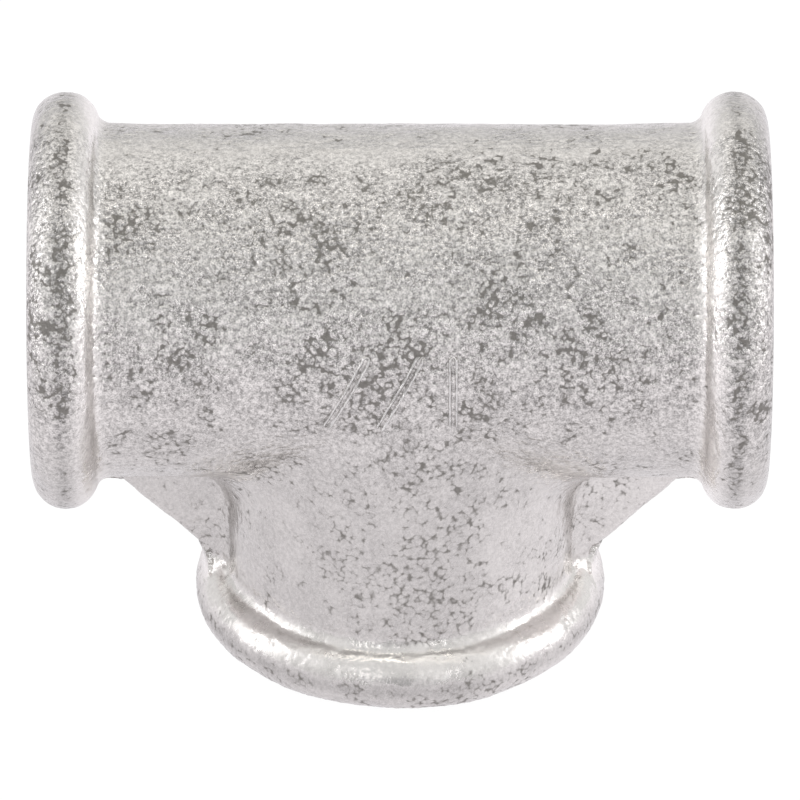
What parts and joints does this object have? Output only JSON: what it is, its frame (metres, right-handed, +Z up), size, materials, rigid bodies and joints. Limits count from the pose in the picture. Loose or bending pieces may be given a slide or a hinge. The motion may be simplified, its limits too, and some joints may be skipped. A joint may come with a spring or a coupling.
{
  "type": "pipe tee fitting",
  "caption": "Equal pipe tee of galvanised malleable iron with beaded mouths, female pipe threads and flat webs in the corners between run and branch.",
  "frame": {"origin": "centre of the branch's mouth at its face, where the tee stands", "axes": "+Z up from the branch's mouth to the run, +X along the run, webs in the XZ plane, cast strokes on the -Y side"},
  "size_m": [0.056, 0.0318, 0.0439],
  "materials": {
    "zinc_skin": "hot-dip galvanised, bright and grainy",
    "cut_thread": "machined, bare metal"
  },
  "bodies": {
    "root": {"run_barrel": "zinc_skin", "branch_neck": "zinc_skin", "left_bead": "zinc_skin", "right_bead": "zinc_skin", "branch_bead": "zinc_skin", "left_web": "zinc_skin", "right_web": "zinc_skin", "left_thread": "cut_thread", "right_thread": "cut_thread", "branch_thread": "cut_thread", "cast_strokes": "zinc_skin"}
  },
  "joints": []
}
